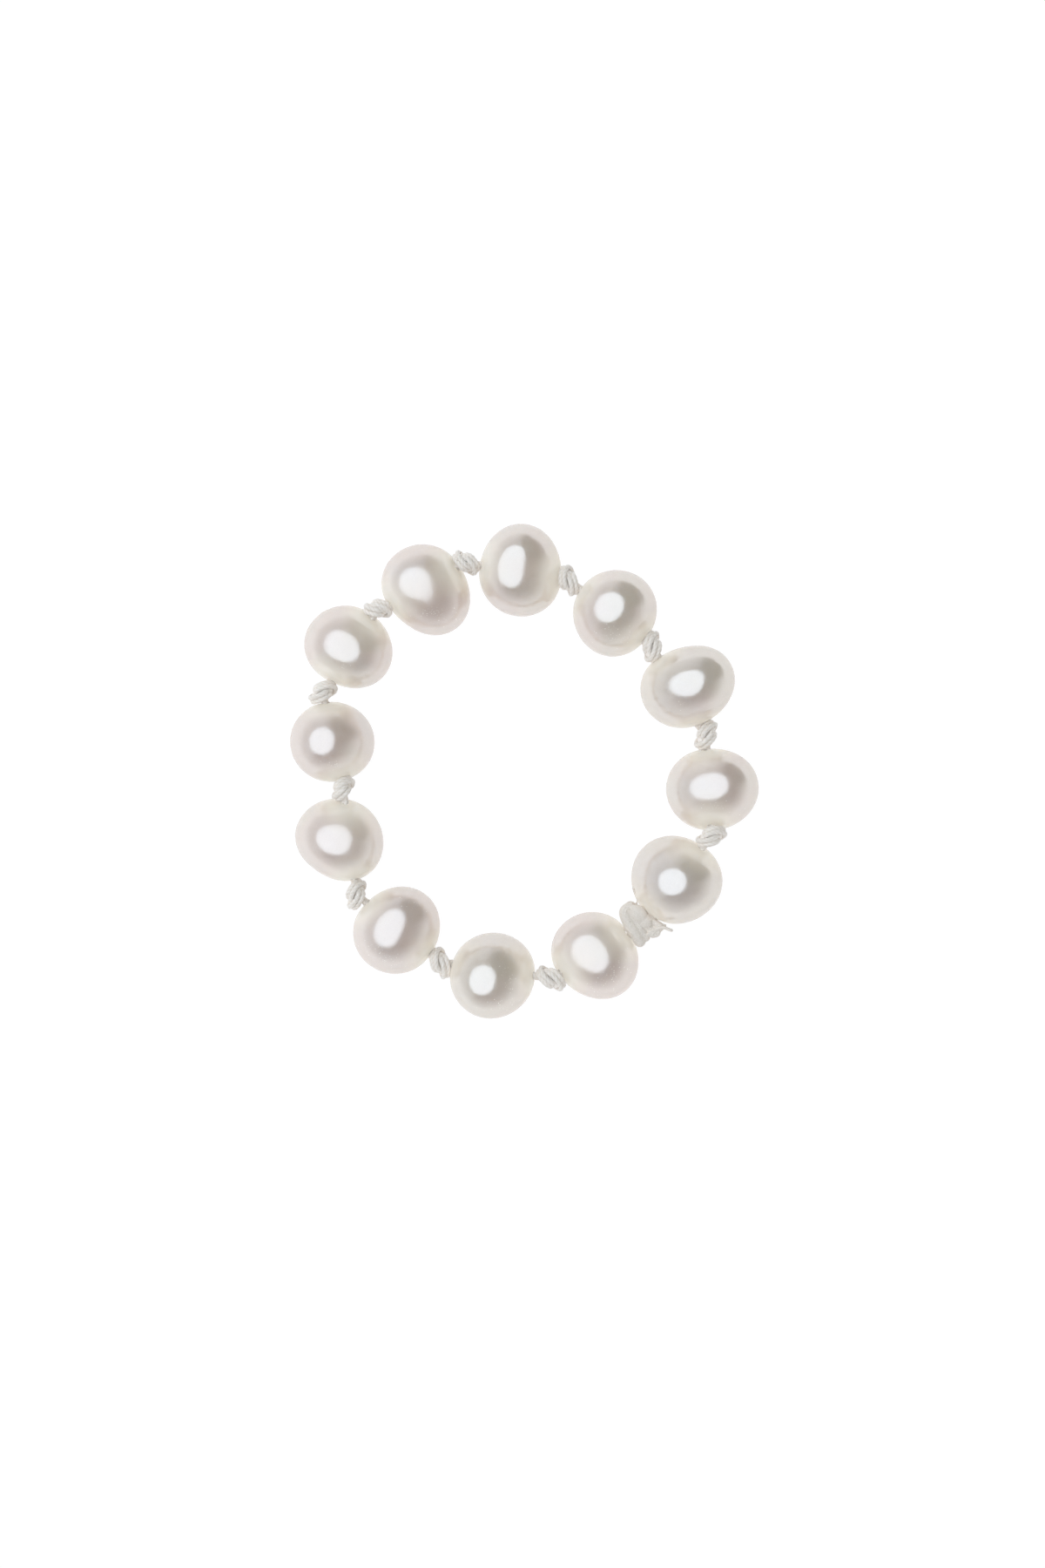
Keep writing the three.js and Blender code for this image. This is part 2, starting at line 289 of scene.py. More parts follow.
class Maths:
    """Short names for the maths nodes of one node tree."""

    def __init__(self, tree):
        self.nodes, self.links = tree.nodes, tree.links

    def socket(self, target, value):
        if isinstance(value, (int, float)):
            target.default_value = value
        else:
            self.links.new(value, target)

    def op(self, operation, *values):
        node = self.nodes.new("ShaderNodeMath")
        node.operation = operation
        for target, value in zip(node.inputs, values):
            self.socket(target, value)
        return node.outputs["Value"]

    def step(self, value, start, end, low=0.0, high=1.0):
        """Goes smoothly from low at start to high at end."""
        node = self.nodes.new("ShaderNodeMapRange")
        node.interpolation_type = "SMOOTHSTEP"
        inputs = {"Value": value, "From Min": start, "From Max": end, "To Min": low, "To Max": high}
        for name, number in inputs.items():
            self.socket(node.inputs[name], number)
        return node.outputs["Result"]

    def along(self, x, y, azimuth):
        """How far a point lies along a horizontal direction."""
        angle = math.radians(azimuth)
        parts = self.op("MULTIPLY", x, math.cos(angle)), self.op("MULTIPLY", y, math.sin(angle))
        return self.op("ADD", *parts)

    def mix(self, factor, first, second):
        node = self.nodes.new("ShaderNodeMix")
        node.data_type = "RGBA"
        self.socket(node.inputs["Factor"], factor)
        for target, value in ((node.inputs["A"], first), (node.inputs["B"], second)):
            if isinstance(value, tuple):
                target.default_value = (*value, 1)
            else:
                self.links.new(value, target)
        return node.outputs["Result"]


def make_world():
    """A light tent: a softbox overhead, a wall with a dark gap on the right, and a glow above the horizon."""
    world = bpy.data.worlds.new("studio")
    world.use_nodes = True
    maths = Maths(world.node_tree)
    nodes, links = maths.nodes, maths.links
    place = nodes.new("ShaderNodeTexCoord")
    split = nodes.new("ShaderNodeSeparateXYZ")
    links.new(place.outputs["Generated"], split.inputs["Vector"])
    x, y, z = split.outputs
    above = maths.op("MAXIMUM", z, LEAST_HEIGHT)
    u, v = maths.op("DIVIDE", x, above), maths.op("DIVIDE", y, above)
    level = maths.op("SQRT", maths.op("ADD", maths.op("MULTIPLY", x, x), maths.op("MULTIPLY", y, y)))
    level = maths.op("MAXIMUM", level, LEAST_LEVEL)

    across = maths.op("SUBTRACT", maths.along(u, v, SOFTBOX["turn"]), SOFTBOX["x"])
    across = maths.op("DIVIDE", across, SOFTBOX["half_width"])
    upward = maths.op("SUBTRACT", maths.along(u, v, SOFTBOX["turn"] + 90), SOFTBOX["y"])
    upward = maths.op("DIVIDE", upward, SOFTBOX["half_height"])
    powers = [
        maths.op("POWER", maths.op("ABSOLUTE", share), SOFTBOX["corners"]) for share in (across, upward)
    ]
    edge = maths.step(across, SOFTBOX["left"], SOFTBOX["right"], SOFTBOX["soft_left"], SOFTBOX["soft_right"])
    limits = maths.op("ADD", 1.0, edge), maths.op("SUBTRACT", 1.0, edge)
    softbox = maths.step(maths.op("ADD", *powers), *limits)
    softbox = maths.op("MULTIPLY", softbox, maths.step(z, SOFTBOX["bottom"], SOFTBOX["top"]))

    towards_wall = maths.op("DIVIDE", maths.along(x, y, WALL["azimuth"]), level)
    wall = maths.step(towards_wall, WALL["starts"], WALL["full"])
    northward = maths.step(maths.op("DIVIDE", y, level), -WALL["gap_change"], WALL["gap_change"])
    gap = maths.mix(northward, WALL["gap_south"], WALL["gap_north"])

    towards_glow = maths.op("DIVIDE", maths.along(x, y, HORIZON["azimuth"]), level)
    lower = maths.step(towards_glow, HORIZON["wide"], HORIZON["narrow"], 0.0, HORIZON["lower"])
    horizon = maths.step(maths.op("ADD", z, lower), HORIZON["starts"], HORIZON["full"])
    eastward = maths.step(maths.op("DIVIDE", x, level), -HORIZON["change"], HORIZON["change"])
    glow = maths.mix(eastward, HORIZON["west"], HORIZON["east"])

    colour = maths.mix(wall, gap, WALL["colour"])
    colour = maths.mix(horizon, colour, glow)
    colour = maths.mix(softbox, colour, SOFTBOX["colour"])

    background = nodes["Background"]
    links.new(colour, background.inputs["Color"])
    backdrop = nodes.new("ShaderNodeBackground")
    backdrop.inputs["Color"].default_value = (BACKDROP_GREY, BACKDROP_GREY, BACKDROP_GREY, 1)
    path = nodes.new("ShaderNodeLightPath")
    mix = nodes.new("ShaderNodeMixShader")
    links.new(path.outputs["Is Camera Ray"], mix.inputs["Fac"])
    links.new(background.outputs["Background"], mix.inputs[1])
    links.new(backdrop.outputs["Background"], mix.inputs[2])
    links.new(mix.outputs["Shader"], nodes["World Output"].inputs["Surface"])
    bpy.context.scene.world = world


def make_floor():
    bpy.ops.mesh.primitive_circle_add(vertices=FLOOR_SIDES, radius=FLOOR_RADIUS, fill_type="NGON")
    floor = bpy.context.object
    floor.name = "floor"
    material = bpy.data.materials.new("floor")
    material.use_nodes = True
    shader = material.node_tree.nodes["Principled BSDF"]
    shader.inputs["Base Color"].default_value = (FLOOR_GREY, FLOOR_GREY, FLOOR_GREY, 1)
    shader.inputs["Roughness"].default_value = 1
    shader.inputs["Specular IOR Level"].default_value = 0
    shader.inputs["Emission Color"].default_value = (1, 1, 1, 1)
    shader.inputs["Emission Strength"].default_value = FLOOR_GLOW
    floor.data.materials.append(material)


# Materials

def new_material(name):
    material = bpy.data.materials.new(name)
    material.use_nodes = True
    return material, material.node_tree.nodes, material.node_tree.links


def noise_node(nodes, links, place, scale, detail, seed=0.0):
    node = nodes.new("ShaderNodeTexNoise")
    node.noise_dimensions = "4D"
    node.inputs["W"].default_value = seed
    node.inputs["Scale"].default_value = scale
    node.inputs["Detail"].default_value = detail
    links.new(place, node.inputs["Vector"])
    return node.outputs["Fac"]


def attribute_node(nodes, name, output="Fac"):
    node = nodes.new("ShaderNodeAttribute")
    node.attribute_name = name
    return node.outputs[output]


def speck_share(nodes, links, place, maths):
    """1 on small dots, which are more crowded where the pearl is speckled."""
    dots = nodes.new("ShaderNodeTexVoronoi")
    dots.inputs["Scale"].default_value = SCALES["specks"]
    links.new(place, dots.inputs["Vector"])
    chance = nodes.new("ShaderNodeSeparateColor")
    links.new(dots.outputs["Color"], chance.inputs["Color"])
    present = maths.op("LESS_THAN", chance.outputs["Red"], attribute_node(nodes, "speckled"))
    strength = maths.op("MULTIPLY", present, maths.step(chance.outputs["Green"], *RAMPS["speck_strength"]))
    return maths.op("MULTIPLY", maths.step(dots.outputs["Distance"], *RAMPS["speck_edge"]), strength)


def set_bump(nodes, links, shader, height, strength, depth):
    bump = nodes.new("ShaderNodeBump")
    bump.inputs["Strength"].default_value = strength
    bump.inputs["Distance"].default_value = depth * MM
    links.new(height, bump.inputs["Height"])
    links.new(bump.outputs["Normal"], shader.inputs["Normal"])


def nacre_material(name, number):
    """Warm white nacre: a soft mirror over a milky body, clouded with colour, with specks and fine grain."""
    material, nodes, links = new_material(name)
    maths = Maths(material.node_tree)
    shader = nodes["Principled BSDF"]
    place = nodes.new("ShaderNodeTexCoord").outputs["Object"]
    end = attribute_node(nodes, "drilled_end")
    speck = speck_share(nodes, links, place, maths)

    start = PINK["start"] + PINK["shift"] * GREENNESS[number]
    pink = noise_node(nodes, links, place, SCALES["pink"], 2, number)
    pink = maths.step(pink, start, start + PINK["width"])
    blue = maths.step(noise_node(nodes, links, place, SCALES["blue"], 1, number + BLUE_SEED), *RAMPS["blue"])
    grain = noise_node(nodes, links, place, SCALES["grain"], 2)
    colour = maths.mix(pink, NACRE["green"], NACRE["pink"])
    colour = maths.mix(blue, colour, NACRE["blue"])
    colour = maths.mix(maths.step(grain, *RAMPS["grain"]), colour, NACRE["grain"])
    # Paler nacre round each drill hole: partly its own colour, partly painted light over the shade by the
    # knots.
    colour = maths.mix(end, colour, NACRE["end"])
    colour = maths.mix(speck, colour, NACRE["speck"])
    links.new(colour, shader.inputs["Base Color"])

    end_haze = maths.op("MULTIPLY", end, END_ROUGHNESS)
    haze = maths.op("ADD", maths.step(pink, 0.0, 1.0, *NACRE_ROUGHNESS), end_haze)
    links.new(haze, shader.inputs["Roughness"])
    links.new(maths.mix(end, (1.0, 1.0, 1.0), DULL_TINT), shader.inputs["Specular Tint"])
    shader.inputs["IOR"].default_value = NACRE_IOR
    shader.inputs["Subsurface Weight"].default_value = 1
    shader.inputs["Subsurface Radius"].default_value = SCATTER_RADIUS
    shader.inputs["Subsurface Scale"].default_value = SCATTER_DEPTH * MM
    shader.inputs["Sheen Weight"].default_value = NACRE_SHEEN["weight"]
    shader.inputs["Sheen Roughness"].default_value = NACRE_SHEEN["roughness"]
    shader.inputs["Sheen Tint"].default_value = NACRE_SHEEN["tint"]
    set_bump(nodes, links, shader, maths.op("ADD", grain, speck), **NACRE_BUMP)
    return material


def ply_grooves(nodes, links, maths, lay):
    """How deep a point lies between the plies, by the cosine of three times its angle round the strand."""
    split = nodes.new("ShaderNodeSeparateXYZ")
    links.new(lay, split.inputs["Vector"])
    x = split.outputs["X"]
    square = maths.op("MULTIPLY", x, x)
    ply = maths.op("MULTIPLY", x, maths.op("SUBTRACT", maths.op("MULTIPLY", square, 4.0), 3.0))
    return maths.step(ply, *RAMPS["grooves"])


def silk_material(name, twisted):
    """Off-white silk with painted shade, yellower where it lies deep: fibres along three plies, or matted by
    glue.
    """
    material, nodes, links = new_material(name)
    silk = SILK[name]
    shader = nodes["Principled BSDF"]
    maths = Maths(material.node_tree)
    place = nodes.new("ShaderNodeTexCoord").outputs["Object"]
    clumps = noise_node(nodes, links, place, SCALES["clumps"], 2)
    if twisted:
        lay = attribute_node(nodes, "lay", "Vector")
        fibres = noise_node(nodes, links, lay, SCALES["fibres"], 3)
    else:
        fibres = noise_node(nodes, links, place, SCALES["matted"], 3)
    # Painted shade between the fibres and in the grooves between the plies.
    shade = maths.op("MULTIPLY", maths.step(fibres, *RAMPS["fibres"]), maths.step(clumps, *RAMPS["clumps"]))
    if twisted:
        shade = maths.op("MAXIMUM", shade, ply_grooves(nodes, links, maths, lay))
    # Painted shade: the silk is darker and more yellow deep inside each knot.
    colour = maths.mix(attribute_node(nodes, "depth"), silk["outer"], silk["deep_shade"])
    colour = maths.mix(shade, colour, tuple(SILK_SHADE * part for part in silk["deep_shade"]))
    links.new(colour, shader.inputs["Base Color"])
    shader.inputs["Roughness"].default_value = silk["roughness"]
    shader.inputs["IOR"].default_value = SILK_IOR
    shader.inputs["Specular IOR Level"].default_value = SILK_SPECULAR
    shader.inputs["Sheen Weight"].default_value = silk["sheen"]
    set_bump(nodes, links, shader, maths.op("ADD", fibres, clumps), SILK_BUMP_STRENGTH, silk["bump_depth"])
    return material


# Pearls

def cubic_terms(direction):
    """Powers of x, y and z up to the third."""
    x, y, z = direction[..., 0], direction[..., 1], direction[..., 2]
    terms = []
    for i in range(4):
        for j in range(4 - i):
            for k in range(4 - i - j):
                terms.append(x**i * y**j * z**k)
    return np.stack(terms, axis=-1)


class PearlSurface:
    """A smooth surface through the CAD pearl's own corners, without its drill hole and its foot."""

    def __init__(self, node, start, end):
        corners = np.array([vertex.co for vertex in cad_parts[node].data.vertices]) / MM
        low, high = (np.array(corner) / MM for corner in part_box(node))
        self.centre = (low + high) / 2
        self.start = start
        self.axis = unit(end - start)
        skin = (self.from_axis(corners) > BORE_RADIUS * BORE_MARGIN) & (corners[:, 2] > FOOT_TOP)
        outward = corners[skin] - self.centre
        reach = np.linalg.norm(outward, axis=1)
        self.terms = np.linalg.lstsq(cubic_terms(unit(outward)), reach, rcond=None)[0]
        self.middle = start + ((self.centre - start) @ self.axis) * self.axis

    def from_axis(self, points):
        offset = points - self.start
        return np.linalg.norm(offset - (offset @ self.axis)[..., None] * self.axis, axis=-1)

    def hit(self, direction):
        """Where rays from the drill hole's middle meet the smooth surface."""
        distance = np.full(direction.shape[:-1], RAY_START)
        for _ in range(RAY_STEPS):
            outward = self.middle + distance[..., None] * direction - self.centre
            distance += cubic_terms(unit(outward)) @ self.terms - np.linalg.norm(outward, axis=-1)
        return self.middle + distance[..., None] * direction


def relief(point, seed):
    """Uneven growth of the nacre, in millimetres."""
    place = Vector(point) + Vector((seed * 17.0, seed * 5.0, 0))
    return sum(height * noise.noise(place * often) for height, often in RELIEF)


def shoulders(outward, axis, number):
    """Height of the low shoulders above the two drill holes, by direction from the pearl's centre."""
    before, after = SHOULDERS[number]
    angles = np.arccos(np.clip(outward @ axis, -1, 1))
    above = np.clip(outward[..., 2] / np.sin(angles), 0, 1) ** 3
    profile = np.zeros_like(angles)
    for strength, angle in ((after, angles), (before, math.pi - angles)):
        for place, share in SHOULDER_FOLDS:
            profile += strength * share * np.exp(-((angle - place) / SHOULDER_WIDTH) ** 2)
    return SHOULDER_HEIGHT * profile * above


def crown(outward, number):
    """Height that makes the top of a pearl flatter or more curved along and across an angle."""
    angle, along, across = CROWNS[number]
    turn = math.radians(angle)
    offset = outward[..., :2] - CROWN_CENTRE
    on_axis = offset @ (math.cos(turn), math.sin(turn))
    off_axis = offset @ (-math.sin(turn), math.cos(turn))
    window = np.exp(-((np.linalg.norm(offset, axis=-1) / CROWN_REACH) ** CROWN_FALL)) * (outward[..., 2] > 0)
    return 0.5 * PEARL_RADIUS * window * ((1 - 1 / along) * on_axis**2 + (1 - 1 / across) * off_axis**2)


def pearl_rings(surface, number):
    """Rings of points from the bottom of one drill hole over the skin to the bottom of the other."""
    across = unit(np.cross(surface.axis, (0.0, 0.0, 1.0)))
    upward = np.cross(surface.axis, across)
    around = spokes(across, upward, PEARL_SIDES)
    first = math.asin((HOLE_RADIUS + LIP) / PEARL_RADIUS)
    angles = np.linspace(first, math.pi - first, PEARL_RINGS)[:, None, None]
    direction = np.cos(angles) * surface.axis + np.sin(angles) * around
    skin = surface.hit(direction)
    outward = unit(skin - surface.centre)
    sink = DIMPLE_DEPTH * np.exp(-((surface.from_axis(skin) / DIMPLE_WIDTH) ** 2))
    grown = np.array([[relief(point, number) for point in ring] for ring in skin])
    grown += shoulders(outward, surface.axis, number) + crown(outward, number)
    skin = skin + outward * (grown - sink)[..., None]
    skin[..., 2] = np.maximum(skin[..., 2], 0)

    holes = []
    for mouth, sign in ((skin[0], 1), (skin[-1], -1)):
        along = (mouth - surface.middle) @ surface.axis
        wide = surface.from_axis(mouth)
        bottom = surface.middle + (along - sign * HOLE_DEPTH)[:, None] * surface.axis + HOLE_RADIUS * around
        hole = [bottom]
        for turn in np.radians(LIP_TURNS):
            radius = HOLE_RADIUS + (wide - HOLE_RADIUS) * (1 - math.cos(turn))
            height = along - sign * LIP * (1 - math.sin(turn))
            hole.append(surface.middle + height[:, None] * surface.axis + radius[:, None] * around)
        holes.append(hole)
    return np.array([*holes[0], *skin, *reversed(holes[1])])


def tube_mesh(name, tubes):
    """A mesh of tubes with closed ends; each tube is an array of rings of points."""
    points, faces = [], []
    for rings in tubes:
        base = sum(len(p) for p in points)
        count, sides = rings.shape[:2]
        points.append(rings.reshape(-1, 3))
        for i in range(count - 1):
            for j in range(sides):
                k = (j + 1) % sides
                a = base + i * sides
                faces.append((a + j, a + k, a + sides + k, a + sides + j))
        faces.append(tuple(base + j for j in reversed(range(sides))))
        faces.append(tuple(base + (count - 1) * sides + j for j in range(sides)))
    mesh = bpy.data.meshes.new(name)
    mesh.from_pydata((np.concatenate(points) * MM).tolist(), [], faces)
    mesh.shade_smooth()
    return mesh


def add_piece(name, mesh, material, slot, *nodes):
    piece = bpy.data.objects.new(name, mesh)
    bpy.context.scene.collection.objects.link(piece)
    mesh.materials.append(material)
    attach(piece, "root")
    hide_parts(*nodes)
    return piece


def set_share(mesh, name, values):
    attribute = mesh.attributes.new(name, "FLOAT", "POINT")
    attribute.data.foreach_set("value", np.asarray(values, dtype=np.float32))


def speckle_share(outward, number):
    """How crowded the specks of one pearl are, by direction from its centre."""
    share = np.zeros(len(outward))
    for patch in SPECKLES:
        if patch["pearl"] == number:
            turn = math.radians(patch["angle"])
            offset = outward[:, :2] - patch["at"]
            length = offset @ (math.cos(turn), math.sin(turn)) / patch["size"][0]
            width = offset @ (-math.sin(turn), math.cos(turn)) / patch["size"][1]
            share = np.maximum(share, patch["strength"] * np.exp(-(length**2) - width**2))
    return share * np.clip(outward[:, 2] / SPECKLE_FADE, 0, 1)


def make_pearl(i):
    """Makes a pearl. Returns the middles of its drill holes' mouths, each after its knot's place in KNOTS."""
    number = i + 1
    name, node = f"nacre_{number:02d}", f"pearl_{number:02d}"
    surface = PearlSurface(node, middle(i - 1), middle(i))
    rings = pearl_rings(surface, i)
    mesh = tube_mesh(name, [rings])
    points = np.concatenate(rings)
    outward = unit(points - surface.centre)
    # The zone round the drill holes, whose paler colour is partly painted light, and whose mirror is duller.
    near = np.interp(surface.from_axis(points), END_WIDTH, (1, 0))
    set_share(mesh, "drilled_end", near**2 * (3 - 2 * near))
    set_share(mesh, "speckled", speckle_share(outward, number))
    add_piece(name, mesh, nacre_material(name, i), "pearl", node)
    hole_rings = (len(rings) - PEARL_RINGS) // 2
    first, last = rings[hole_rings].mean(axis=0), rings[-hole_rings - 1].mean(axis=0)
    return [(i, first), ((i - 1) % len(KNOTS), last)]


# Thread

def knot_axes(i):
    """Columns: along the thread, down and outwards, all turned by the knot's roll."""
    along = unit(unit(middle(i) - middle(i - 1)) + unit(middle(i + 1) - middle(i)))
    outward = unit(np.cross((0.0, 0.0, 1.0), along))
    down = np.cross(outward, along)
    roll = math.radians(KNOTS[i]["roll"])
    y_axis = math.cos(roll) * down + math.sin(roll) * outward
    z_axis = math.cos(roll) * outward - math.sin(roll) * down
    return np.stack([along, y_axis, z_axis])


def overhand_route():
    """The whole overhand knot from its half route, entering from -x and leaving along +x."""
    leaving = np.array(KNOT_ROUTE)
    entering = leaving[:0:-1] * (-1, 1, -1)
    return np.concatenate([entering, leaving])


def straight_from(i, j):
    """Where the thread leaves knot i towards knot j and runs straight."""
    direction = unit(middle(j) - middle(i))
    distances = (STRAIGHT_START, STRAIGHT_START + STRAIGHT_LENGTH)
    return [middle(i) + distance * direction for distance in distances]


def thread_points():
    """The thread's route as in the frame, and which knot each point belongs to, or -1."""
    points = [middle(CLOSING), *straight_from(CLOSING, CLOSING + 1)]
    owners = [-1] * len(points)
    for step in range(1, len(KNOTS)):
        i = (CLOSING + step) % len(KNOTS)
        knot = overhand_route() * KNOT_SCALE * KNOTS[i]["size"] @ knot_axes(i) + middle(i)
        points += [*reversed(straight_from(i, i - 1)), *knot, *straight_from(i, i + 1)]
        owners += [-1, -1, *([i] * len(knot)), -1, -1]
    points += [*reversed(straight_from(CLOSING, CLOSING - 1)), middle(CLOSING)]
    owners += [-1] * 3
    return np.array(points), owners


def smooth_curve(points, steps):
    """A centripetal Catmull-Rom curve through the points, with steps between every two."""
    ends = np.concatenate([[2 * points[0] - points[1]], points, [2 * points[-1] - points[-2]]])
    before, start, end, after = ends[:-3], ends[1:-2], ends[2:-1], ends[3:]
    d0, d1, d2 = (
        np.sqrt(np.linalg.norm(b - a, axis=1))[:, None]
        for a, b in ((before, start), (start, end), (end, after))
    )
    leave = ((start - before) / d0 - (end - before) / (d0 + d1) + (end - start) / d1) * d1
    arrive = ((end - start) / d1 - (after - start) / (d1 + d2) + (after - end) / d2) * d1
    t = (np.arange(steps) / steps)[None, :, None]
    p, m, q, n = start[:, None], leave[:, None], end[:, None], arrive[:, None]
    curve = p + m * t + (3 * (q - p) - 2 * m - n) * t**2 + (2 * (p - q) + m + n) * t**3
    return np.concatenate([curve.reshape(-1, 3), points[-1:]])


def transported_frames(path):
    """Tangents, and two directions across them that turn as little as they can."""
    tangents = unit(np.gradient(path, axis=0))
    across = np.zeros_like(path)
    across[0] = unit(np.cross(tangents[0], (0.0, 0.0, 1.0)))
    for i in range(1, len(path)):
        previous = across[i - 1]
        across[i] = unit(previous - (previous @ tangents[i]) * tangents[i])
    return tangents, across, np.cross(tangents, across)


def travelled(path):
    """The distance along the path to each of its points."""
    return np.concatenate([[0], np.cumsum(np.linalg.norm(np.diff(path, axis=0), axis=1))])


def pair_angles(path, owner, frames, distance):
    """How the two strands lie round the path: side by side on each knot, and twisted between the knots."""
    tangents, across, upward = frames
    twist = PAIR_TWIST * distance
    turned = PAIR_TWIST_WEIGHT * np.stack([np.cos(twist), np.sin(twist)], axis=1)  # of twice the angle
    for i in range(len(path)):
        if owner[i] < 0:
            continue
        outward = path[i] - middle(owner[i])
        side = np.cross(tangents[i], outward)
        angle = math.atan2(side @ upward[i], side @ across[i])
        weight = np.linalg.norm(side)
        turned[i] = (weight * math.cos(2 * angle), weight * math.sin(2 * angle))
    even = np.arange(0, distance[-1], PAIR_STEP)
    width = PAIR_SMOOTHING / PAIR_STEP
    reach = np.arange(-int(3 * width), int(3 * width) + 1)
    kernel = np.exp(-0.5 * (reach / width) ** 2)
    smooth = [np.convolve(np.interp(even, distance, turned[:, k]), kernel, mode="same") for k in (0, 1)]
    return np.interp(distance, even, np.unwrap(np.arctan2(smooth[1], smooth[0])) / 2)


def from_knots(points):
    """The distance of each point from the nearest knot's middle."""
    middles = np.array([middle(i) for i in range(len(KNOTS))])
    return np.linalg.norm(points[:, None] - middles[None], axis=2).min(axis=1)


def lay_of(angle, along, strand):
    """A place on the twisted plies, for the fibres: round the strand and along it, other for each strand."""
    return np.stack([np.cos(angle), np.sin(angle), LAY_LENGTH * along[:, None] + 0 * angle + strand], axis=-1)


def strand_rings(path, frames, side_angle, sign, distance):
    """One strand of the pair, a tube of three twisted plies, and where its points lie on the plies."""
    tangents, across, upward = frames
    side = np.cos(side_angle)[:, None] * across + np.sin(side_angle)[:, None] * upward
    swell = np.interp(from_knots(path), KNOT_EDGE, (KNOT_SWELL, 1))[:, None]
    centre = path + sign * STRAND_OFFSET * swell * side
    turns = np.linspace(0, 2 * math.pi, STRAND_SIDES, endpoint=False)
    angle = turns - PLY_TWIST * distance[:, None]
    radius = STRAND_RADIUS * swell * (1 + PLY_DEPTH * np.cos(3 * angle))
    rings = centre[:, None] + radius[..., None] * spokes(side, np.cross(tangents, side), STRAND_SIDES)
    return rings, lay_of(angle, distance, sign)


def collar(knot, mouth):
    """A flare of silk that fills a drill hole's mouth, and where its points lie on the plies."""
    towards = middle(knot) - mouth
    length = np.linalg.norm(towards)
    along = np.linspace(-COLLAR_SUNK, length - COLLAR_SHORT * KNOTS[knot]["size"], COLLAR_RINGS)
    radius = np.interp(along, (0, COLLAR_LIP), (COLLAR_RADIUS, COLLAR_WAIST))
    across = unit(np.cross(towards, (0.0, 0.0, 1.0)))
    upward = np.cross(towards / length, across)
    around = spokes(across, upward, STRAND_SIDES)
    rings = mouth + along[:, None, None] * towards / length + radius[:, None, None] * around
    turns = np.linspace(0, 2 * math.pi, STRAND_SIDES, endpoint=False)
    return rings, lay_of(turns - COLLAR_TWIST * along[:, None], along, 0)


def set_painted_shade_depth(mesh):
    """Marks how deep each point of the thread lies, for the painted shade: 1 at the middle of a knot, 0
    outside, 0.5 in a pearl.
    """
    away = from_knots(np.array([vertex.co for vertex in mesh.vertices]) / MM) / KNOT_REACH
    set_share(mesh, "depth", np.where(away < 1, 1 - away, 0.5 * np.clip(away - 1, 0, 1)))


def set_lay(mesh, lays):
    attribute = mesh.attributes.new("lay", "FLOAT_VECTOR", "POINT")
    attribute.data.foreach_set("vector", np.concatenate([lay.reshape(-1) for lay in lays]).astype(np.float32))


def make_thread(mouths):
    """Two strands in every knot but the closing one, what fills those knots, and the holes' collars."""
    points, owners = thread_points()
    path = smooth_curve(points, STEPS_PER_POINT)
    owner = np.repeat(owners[:-1], STEPS_PER_POINT).tolist() + [owners[-1]]
    frames = transported_frames(path)
    distance = travelled(path)
    side_angle = pair_angles(path, owner, frames, distance)
    strands, lays = zip(*(strand_rings(path, frames, side_angle, sign, distance) for sign in (1, -1)))
    cores = [
        KNOTS[i]["size"] * lump_rings(at, half_sizes) @ knot_axes(i) + middle(i)
        for i in range(len(KNOTS)) if i != CLOSING for at, half_sizes in KNOT_FILL
    ]
    collars, collar_lays = zip(*(collar(knot, mouth) for knot, mouth in mouths if knot != CLOSING))
    mesh = tube_mesh("silk_strands", [*strands, *cores, *collars])
    set_painted_shade_depth(mesh)
    set_lay(mesh, [*lays, *cores, *collar_lays])
    add_piece("silk_strands", mesh, silk_material("silk", True), "silk", "silk_thread")


# Closing knot

# Tubes from the knot's middle: x along the thread, y down, z outwards from the ring, in millimetres.
CLOSING_TUBES = {
    "long_loop": (0.33, [
        (0.44, -0.20, 0.76), (0.34, -0.32, 0.20), (0.25, -0.28, -0.40), (0.00, -0.12, -0.98),
        (-0.38, 0.05, -0.98),
    ]),
    "inner_leg": (0.24, [(0.06, -0.12, 0.82), (0.02, -0.26, 0.40), (0.02, -0.20, -0.10)]),
    "short_loop": (0.27, [(0.05, 0.15, -0.10), (-0.40, -0.10, 0.30), (-0.46, -0.12, 0.85)]),
    "left_strand": (0.19, [(-0.74, -0.02, 0.02), (-0.84, -0.22, 0.48), (-0.97, -0.32, 0.88)]),
    "hump": (0.13, [(-0.80, -0.30, 0.80), (-0.58, -0.34, 1.10), (-0.28, -0.28, 1.00)]),
    "flat_end": (0.12, [(-0.50, -0.25, 1.00), (-0.85, -0.30, 1.01), (-1.12, -0.35, 1.00)]),
    "bottom_arc": (0.06, [
        (0.46, -0.40, -0.55), (0.24, -0.40, -0.95), (-0.15, -0.34, -1.16), (-0.60, -0.25, -1.10),
    ]),
    "second_arc": (0.05, [
        (0.36, -0.46, -0.50), (0.15, -0.46, -0.85), (-0.18, -0.40, -1.02), (-0.58, -0.34, -0.98),
    ]),
    "outer_tail": (0.09, [(-0.30, -0.20, 0.80), (-0.95, -0.60, 0.95), (-1.28, -0.85, 1.42)]),
    "inner_tail": (0.05, [
        (-0.45, 0.05, -0.75), (-0.90, 0.00, -1.00), (-1.05, -0.05, -1.30), (-1.14, -0.05, -1.66),
    ]),
}
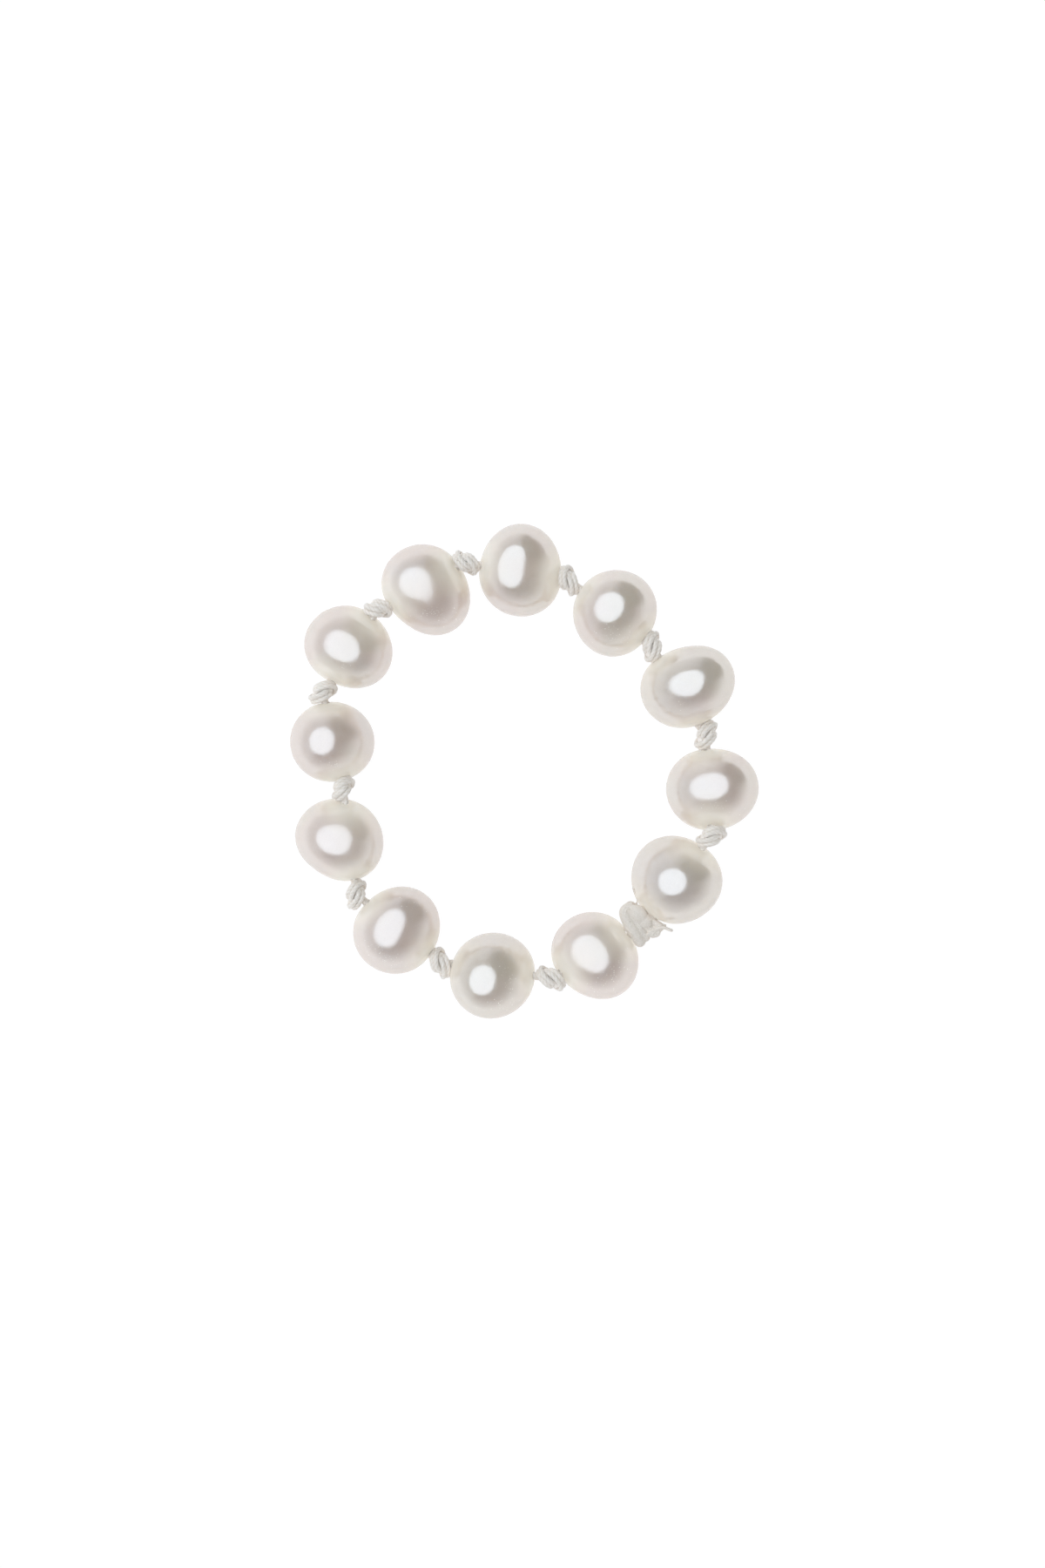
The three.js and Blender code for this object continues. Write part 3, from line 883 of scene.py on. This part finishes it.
# Lumps: the middle and the half sizes.
CLOSING_LUMPS = {
    "turn": ((-0.50, -0.38, -0.44), (0.44, 0.36, 0.54)),
    "seat": ((-0.54, -0.24, 0.12), (0.38, 0.36, 0.46)),
    "left_side": ((-0.80, -0.10, 0.30), (0.26, 0.30, 0.60)),
    "eye_floor": ((-0.33, -0.34, 0.84), (0.22, 0.12, 0.11)),
    "right_side": ((0.58, 0.00, 0.00), (0.22, 0.30, 0.40)),
    "core": ((0.00, 0.05, -0.05), (0.56, 0.55, 0.90)),
}
# A round of strand on the outside, with a hollow in it.
EYE = {"at": (-0.33, -0.42, 0.84), "half_length": 0.22, "half_height": 0.11, "radius": 0.065, "points": 17}


def rounded_tube(points, radius):
    """A tube whose ends are half balls."""
    path = smooth_curve(np.array(points, dtype=float), TUBE_STEPS)
    _, across, upward = transported_frames(path)
    rings = path[:, None] + radius * spokes(across, upward, TUBE_SIDES)
    first, last = rings[0].mean(axis=0), rings[-1].mean(axis=0)
    back, ahead = unit(first - rings[1].mean(axis=0)), unit(last - rings[-2].mean(axis=0))
    caps = []
    for centre, ring, direction in ((first, rings[0], back), (last, rings[-1], ahead)):
        caps.append([
            centre + math.cos(turn) * (ring - centre) + math.sin(turn) * radius * direction
            for turn in np.radians(CAP_TURNS)
        ])
    return np.array([*reversed(caps[0]), *rings, *caps[1]])


def lump_rings(at, half_sizes):
    turns = np.linspace(0, 2 * math.pi, LUMP_SIDES, endpoint=False)
    heights = np.linspace(0, math.pi, LUMP_RINGS + 2)[1:-1]
    shape = np.stack([
        np.sin(heights)[:, None] * np.cos(turns)[None],
        np.sin(heights)[:, None] * np.sin(turns)[None],
        np.cos(heights)[:, None] * np.ones_like(turns)[None],
    ], axis=-1)
    return np.array(at) + shape * half_sizes


def make_closing_knot():
    """One lump, melted together from the tubes, the lumps and a round eye."""
    axes, origin = knot_axes(CLOSING), middle(CLOSING)
    tubes = [rounded_tube(route, radius) for radius, route in CLOSING_TUBES.values()]
    tubes += [lump_rings(at, half_sizes) for at, half_sizes in CLOSING_LUMPS.values()]
    round_eye = [
        np.array(EYE["at"]) + (EYE["half_length"] * math.cos(turn), 0, EYE["half_height"] * math.sin(turn))
        for turn in np.linspace(0, 2 * math.pi, EYE["points"])
    ]
    tubes.append(rounded_tube(round_eye, EYE["radius"]))
    mesh = tube_mesh("closing_knot", [tube @ axes + origin for tube in tubes])
    piece = add_piece("closing_knot", mesh, silk_material("glued_silk", False), "silk", "silk_thread")
    melt = piece.modifiers.new("melt", "REMESH")
    melt.mode = "VOXEL"
    melt.voxel_size = MELT_VOXEL * MM
    melt.use_smooth_shade = True
    soften = piece.modifiers.new("soften", "SMOOTH")
    soften.iterations = SOFTEN_ROUNDS


make_camera()
make_world()
make_floor()
hole_mouths = [mouth for number in range(len(KNOTS)) for mouth in make_pearl(number)]
make_thread(hole_mouths)
make_closing_knot()
bpy.context.scene.view_settings.view_transform = "Standard"
